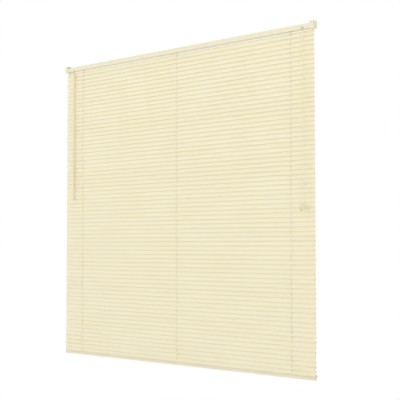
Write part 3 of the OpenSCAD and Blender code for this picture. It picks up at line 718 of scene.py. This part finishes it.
def string_ladders():
    """Each ladder: two upright strings, a rung under every slat, and a loop over its drum."""
    along = np.array([0.0, math.cos(SLAT_TILT), math.sin(SLAT_TILT)])
    below = RUNG_DROP * np.array([0.0, math.sin(SLAT_TILT), -math.cos(SLAT_TILT)])
    reach = np.array([-STRING_Y - below[1], STRING_Y - below[1]]) / along[1]
    rung = np.linspace(reach[0], reach[1], RUNG_STEPS).reshape(1, -1, 1) * along
    both = np.array([[-STRING_Y], [STRING_Y]])
    for side, x in LADDER_X.items():
        foot_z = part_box("ladder_" + side)[0].z
        feet = np.array([foot_z, BOTTOM_Z + BOTTOM_HALF_H + STRING_CLEAR])
        heights = feet[:, None] + (RAIL_UNDER - feet)[:, None] * np.linspace(0, 1, STRING_STEPS)
        strings = np.stack([0 * heights + x, 0 * heights + MID_Y + both, heights], -1)
        middles = np.stack([0 * SLAT_Z + x, 0 * SLAT_Z + MID_Y, SLAT_Z], -1) + below
        strung = tube_bundle(strings, STRING_R, STRING_SIDES, RAIL_UNDER - foot_z)
        rungs = tube_bundle(middles[:, None] + rung, RUNG_R, RUNG_SIDES, reach[1] - reach[0])
        points, cells, uv = joined(strung, rungs)
        ladder = make_piece("ladder_" + side + "_braid", points, cells, uv=uv)
        dress(ladder, "blind", "cord", BRAIDED_CORD, "ladder_" + side)
        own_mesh(ladder)
        loop = tube_piece("ladder_" + side + "_loop", ladder_loop(x), STRING_R, STRING_SIDES)
        dress(loop, "blind", "cord", BRAIDED_CORD)


string_ladders()


# Slats, with cord slots drawn closer round the lift cords than the solids' slots are

SLOT_HALF_L = 0.0032
SLOT_HALF_W = 0.0011
SLOT_END_HALF = 0.0006
SLOT_MARGIN = 0.006
SLOT_ROWS = SLOT_HALF_L - SLOT_HALF_W + SLOT_HALF_W * np.sin(np.radians([0, 30, 55, 75, 90]))
HALF_ROWS = np.concatenate([SLOT_ROWS, [0.0055, 0.0075, 0.0095, 0.011, 0.012, SLAT_WIDTH / 2]])
SLAT_ROWS = np.concatenate([-HALF_ROWS[::-1], [0.0], HALF_ROWS])
END_MARGIN = 0.006
SLAT_CORNER = 0.003
# Unevenness from slat to slat: lean in degrees, shift along X, height of the wave, tone
LEAN_SPREAD = 0.35
SHIFT_SPREAD = 0.0004
WAVE_SPAN = (0.00005, 0.0003)
TONE_SPAN = (-0.08, 0.12)
WAVE_LENGTH = 1.1


def slat_stations():
    """Distances along a slat: its ends, the sides and margins of each cord slot, and steps between them."""
    middles = [x + LIFT_X for x in LADDER_X.values()]
    slots = [x + side * w for x in middles for side in (-1, 1) for w in (SLOT_HALF_W, SLOT_MARGIN)]
    spans = [-0.74, -0.56, -0.45, -0.34, -0.225, -0.11, 0.11, 0.225, 0.34, 0.45, 0.56, 0.74]
    half = SLAT_LENGTH / 2
    return np.sort(np.array([-half, -half + END_MARGIN, half - END_MARGIN, half] + slots + spans))


def slat_sheet(stations):
    """One slat laid flat: places across and along it, the heights of its arch, and its cells less the slots.

    The arch is an arc of a circle. The ends have round corners, and the slots have round ends."""
    s, x = np.meshgrid(SLAT_ROWS, stations, indexing="ij")
    arc_r = (SLAT_WIDTH ** 2 / 4 + SLAT_CROWN ** 2) / (2 * SLAT_CROWN)
    arch = np.sqrt(arc_r ** 2 - s ** 2) + SLAT_CROWN - arc_r
    past_corner = np.clip(np.abs(s) - (SLAT_WIDTH / 2 - SLAT_CORNER), 0, None)
    inset = SLAT_CORNER - np.sqrt(SLAT_CORNER ** 2 - past_corner ** 2)
    at_end = np.abs(x) >= SLAT_LENGTH / 2 - SAME_PLACE
    x = np.where(at_end, np.sign(x) * (SLAT_LENGTH / 2 - inset), x)
    past_slot = np.clip(np.abs(s) - (SLOT_HALF_L - SLOT_HALF_W), 0, SLOT_HALF_W)
    narrow = np.maximum(np.sqrt(SLOT_HALF_W ** 2 - past_slot ** 2), SLOT_END_HALF)
    in_slot = np.abs(SLAT_ROWS[:-1] + SLAT_ROWS[1:]) / 2 < SLOT_HALF_L
    open_cells = np.zeros((len(SLAT_ROWS) - 1, len(stations) - 1), bool)
    for ladder in LADDER_X.values():
        centre = ladder + LIFT_X
        on_side = np.abs(np.abs(stations - centre) - SLOT_HALF_W) < SAME_PLACE
        edge = on_side & (np.abs(s) <= SLOT_HALF_L + SAME_PLACE)
        x = np.where(edge, centre + np.sign(stations - centre) * narrow, x)
        between = np.abs((stations[:-1] + stations[1:]) / 2 - centre) < SLOT_HALF_W
        open_cells |= in_slot[:, None] & between[None, :]
    return s, x, arch, grid_cells(len(SLAT_ROWS), len(stations), False)[~open_cells]


def lay_slats():
    """Every slat: a sheet with a slow wave along it, turned to its own lean, thickened both ways."""
    s, x, arch, kept = slat_sheet(slat_stations())
    lean = SLAT_TILT + np.radians(chance.normal(0, LEAN_SPREAD, SLAT_COUNT)).reshape(-1, 1, 1)
    wave = chance.uniform(*WAVE_SPAN, (SLAT_COUNT, 1, 1))
    phase = chance.uniform(0, 2 * np.pi, (SLAT_COUNT, 1, 1))
    height = arch + wave * np.sin(2 * np.pi * x / WAVE_LENGTH + phase)
    shift = chance.normal(0, SHIFT_SPREAD, SLAT_COUNT).reshape(-1, 1, 1)
    y = MID_Y + s * np.cos(lean) - height * np.sin(lean)
    z = SLAT_Z.reshape(-1, 1, 1) + s * np.sin(lean) + height * np.cos(lean)
    points = np.stack([np.broadcast_to(x + shift, y.shape), y, z], -1)
    slats = make_piece("slat_set", points, repeated(kept, SLAT_COUNT, s.size), corner=60)
    tones = np.repeat(chance.uniform(*TONE_SPAN, SLAT_COUNT), s.size)
    tone = slats.data.attributes.new("slat_tone", "FLOAT", "POINT")
    tone.data.foreach_set("value", tones.astype(np.float32))
    wall = slats.modifiers.new("thickness", "SOLIDIFY")
    wall.thickness = SLAT_THICK
    wall.offset = 0.0
    dress(slats, "blind", "slat_pvc", SLAT_PVC, "slats")
    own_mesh(slats)


lay_slats()


# Wand

WAND_SIDES = 72
WAND_ROWS = 12
WAND_FACE_ANGLES = np.radians(np.arange(30, 360, 60))
WAND_FLAT_R = WAND_R * math.cos(math.radians(30))
WAND_CORNER_POWER = 26
WAND_PLAY = 0.0001
WAND_BORE = WAND_R + WAND_PLAY
HOOK_BORE = 0.00095
HOOK_BORE_DEPTH = 0.009
WAND_BORE_TOP = 0.010
SLEEVE_ROUND = 0.0014
TIP_DOME = 0.003
TIP_ROUND = 0.0005
TIP_EYE = 0.0004
TIP_FLOOR = 0.0021


def wand_rod(low_z, high_z, axis_x, axis_y):
    """A six-sided section with soft corners, carried upright."""
    turn = np.linspace(0, 2 * np.pi, WAND_SIDES, endpoint=False)
    faces = np.clip(np.cos(turn[:, None] - WAND_FACE_ANGLES[None, :]) / WAND_FLAT_R, 0, None)
    r = (faces ** WAND_CORNER_POWER).sum(1) ** (-1 / WAND_CORNER_POWER)
    heights = np.linspace(low_z, high_z, WAND_ROWS).reshape(-1, 1)
    rings = np.stack([axis_x + r * np.cos(turn) + 0 * heights, axis_y + r * np.sin(turn) + 0 * heights,
                      heights + 0 * turn], -1)
    return make_piece("wand_rod", rings, grid_cells(WAND_ROWS, WAND_SIDES, True),
                      end_rings(WAND_ROWS, WAND_SIDES))


def sleeve_profile(low, high):
    """Sleeve with round edges, bored for the wand from below and for its hook from above."""
    outer = (high.x - low.x) / 2
    lip = SLEEVE_ROUND / 2
    return (arc((outer - lip, low.z + lip), lip, -90, 0)
            + arc((outer - SLEEVE_ROUND, high.z - SLEEVE_ROUND), SLEEVE_ROUND, 0, 90)
            + [(HOOK_BORE, high.z), (HOOK_BORE, high.z - HOOK_BORE_DEPTH),
               (WAND_BORE, high.z - WAND_BORE_TOP), (WAND_BORE, low.z)])


def tip_profile(low, high):
    """Tip with a domed foot and a round rim, bored for the wand, with a fine hole through its floor."""
    outer = (high.x - low.x) / 2
    return ([(TIP_EYE, low.z)] + arc((outer - TIP_DOME, low.z + TIP_DOME), TIP_DOME, -90, 0)
            + arc((outer - TIP_ROUND, high.z - TIP_ROUND), TIP_ROUND, 0, 90)
            + [(WAND_BORE, high.z), (WAND_BORE, low.z + TIP_FLOOR), (TIP_EYE, low.z + TIP_FLOOR)])


def hang_wand():
    """The wand, and its sleeve and tip turned about the same upright axis."""
    low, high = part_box("wand")
    axis = ((low.x + high.x) / 2, (low.y + high.y) / 2)
    dress(wand_rod(low.z, high.z, *axis), "wand", "wand_plastic", WAND_PLASTIC, "wand")
    for node, profile in (("wand_sleeve", sleeve_profile), ("wand_tip", tip_profile)):
        piece = turned_piece(node + "_turned", profile(*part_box(node)), *axis)
        dress(piece, "wand", "wand_plastic", WAND_PLASTIC, node)


hang_wand()


# Bottom rail

RAIL_SIDES = 96
CAP_FOOT_INSET = 0.0008
CAP_FACE_INSET = 0.0035
CAP_TURNS = np.radians(np.linspace(0, 90, 7))


def rail_section(inset):
    """Ellipse less an inset, turned to the rail's tilt, as Y and Z."""
    turn = np.linspace(0, 2 * np.pi, RAIL_SIDES, endpoint=False)
    a, b = (BOTTOM_A - inset) * np.cos(turn), (BOTTOM_B - inset) * np.sin(turn)
    return np.stack([BOTTOM_Y + a * math.cos(BOTTOM_TILT) - b * math.sin(BOTTOM_TILT),
                     BOTTOM_Z + a * math.sin(BOTTOM_TILT) + b * math.cos(BOTTOM_TILT)], -1)


def section_rings(insets, places):
    """Rings of the rail's section: one for each inset and place along X."""
    return np.stack([np.column_stack([np.full(RAIL_SIDES, x), rail_section(inset)])
                     for inset, x in zip(insets, places)])


def rail_cap(side, start, end):
    """Cap on an end of the rail, its edge rounded by a quarter circle from its start to its outer end."""
    thick = end - start
    insets = np.concatenate([[CAP_FOOT_INSET, 0.0], abs(thick) * (1 - np.cos(CAP_TURNS)), [CAP_FACE_INSET]])
    places = np.concatenate([[start, start], start + thick * np.sin(CAP_TURNS), [end]])
    rows = len(insets)
    return make_piece("bottom_cap_" + side + "_rounded", section_rings(insets, places),
                      grid_cells(rows, RAIL_SIDES, True), end_rings(rows, RAIL_SIDES))


def hang_bottom_rail():
    """Bottom rail: its section carried along X, outside and inside, with a cap on each end."""
    low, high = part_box("bottom_rail")
    rings = section_rings([0, 0, BOTTOM_WALL, BOTTOM_WALL], [low.x, high.x, high.x, low.x])
    rail = make_piece("bottom_rail_oval", rings, loop_cells(len(rings), RAIL_SIDES))
    dress(rail, "bottom", "slat_pvc", RAIL_PVC, "bottom_rail")
    for side, start, outer in (("left", low.x, min), ("right", high.x, max)):
        cap_low, cap_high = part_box("bottom_cap_" + side)
        cap = rail_cap(side, start, outer(cap_low.x, cap_high.x))
        dress(cap, "bottom", "moulded_cream", MOULDED_CREAM, "bottom_cap_" + side)


hang_bottom_rail()


# Floor, light and surroundings

WHITE = (1.0, 1.0, 1.0, 1.0)
FLOOR_Z = -2.1
FLOOR_HALF = 6.0
FLOOR_ROUGH = 0.9
# Distances between which the floor fades, and the share of white at each
FLOOR_FADE = (0.9, 1.9)
FLOOR_WHITE = (0.35, 1.0)
SOFT_LIGHT = 0.73
LAMP_ANGLE = math.radians(50)
LAMP_AIM = (0.0, 0.0, -0.75)
LAMPS = (("key", (-1.3, -3.2, -0.95), 0.58), ("fill", (2.2, -2.9, -0.95), 0.65),
         ("back", (0.8, 3.0, 1.2), 0.6))


def mixed_shaders(tree, amount, first, second, output):
    """Mixes two shaders by an amount, and leads the result to the named output node."""
    mix = tree.nodes.new("ShaderNodeMixShader")
    tree.links.new(amount, mix.inputs["Fac"])
    tree.links.new(first, mix.inputs[1])
    tree.links.new(second, mix.inputs[2])
    tree.links.new(mix.outputs["Shader"], tree.nodes[output].inputs["Surface"])


def lay_floor():
    """Pale floor that keeps the shadow near the blind and fades to the white surroundings away from it."""
    corners = np.array([(-1, -1), (1, -1), (1, 1), (-1, 1)], float) * FLOOR_HALF
    mesh = bpy.data.meshes.new("floor")
    mesh.from_pydata(np.column_stack([corners, np.full(4, FLOOR_Z)]).tolist(), [], [[0, 1, 2, 3]])
    floor = in_scene("floor", mesh)
    material, tree, shader, place = new_finish("pale_floor")
    shader.inputs["Base Color"].default_value = (*FLOOR, 1.0)
    shader.inputs["Roughness"].default_value = FLOOR_ROUGH
    white = tree.nodes.new("ShaderNodeEmission")
    white.inputs["Strength"].default_value = 1.0
    flat = tree.nodes.new("ShaderNodeMapping")
    flat.inputs["Scale"].default_value = (1.0, 1.0, 0.0)
    tree.links.new(place["Object"], flat.inputs["Vector"])
    length = tree.nodes.new("ShaderNodeVectorMath")
    length.operation = "LENGTH"
    tree.links.new(flat.outputs["Vector"], length.inputs[0])
    away = spread(tree, length.outputs["Value"], *FLOOR_FADE, *FLOOR_WHITE)
    rays = tree.nodes.new("ShaderNodeLightPath")
    seen = maths(tree, "MULTIPLY", away, rays.outputs["Is Camera Ray"])
    mixed_shaders(tree, seen, shader.outputs["BSDF"], white.outputs["Emission"], "Material Output")
    mesh.materials.append(material)


def light_surroundings():
    """Surroundings that are white to the camera and in reflections, and give a soft even light."""
    world = bpy.data.worlds.new("studio")
    bpy.context.scene.world = world
    world.use_nodes = True
    tree = world.node_tree
    soft = tree.nodes["Background"]
    soft.inputs["Color"].default_value = WHITE
    soft.inputs["Strength"].default_value = SOFT_LIGHT
    white = tree.nodes.new("ShaderNodeBackground")
    white.inputs["Color"].default_value = WHITE
    white.inputs["Strength"].default_value = 1.0
    rays = tree.nodes.new("ShaderNodeLightPath")
    seen = maths(tree, "MAXIMUM", rays.outputs["Is Camera Ray"], rays.outputs["Is Glossy Ray"])
    seen = maths(tree, "MAXIMUM", seen, rays.outputs["Is Transmission Ray"])
    mixed_shaders(tree, seen, soft.outputs["Background"], white.outputs["Background"], "World Output")


def hang_lamps():
    """Three broad far lamps that look at the blind's middle."""
    for name, place, power in LAMPS:
        lamp = bpy.data.lights.new(name, "SUN")
        lamp.angle = LAMP_ANGLE
        lamp.energy = power
        aim(in_scene(name, lamp), place, Vector(LAMP_AIM) - Vector(place))


lay_floor()
light_surroundings()
hang_lamps()
bpy.context.scene.view_settings.view_transform = "Standard"
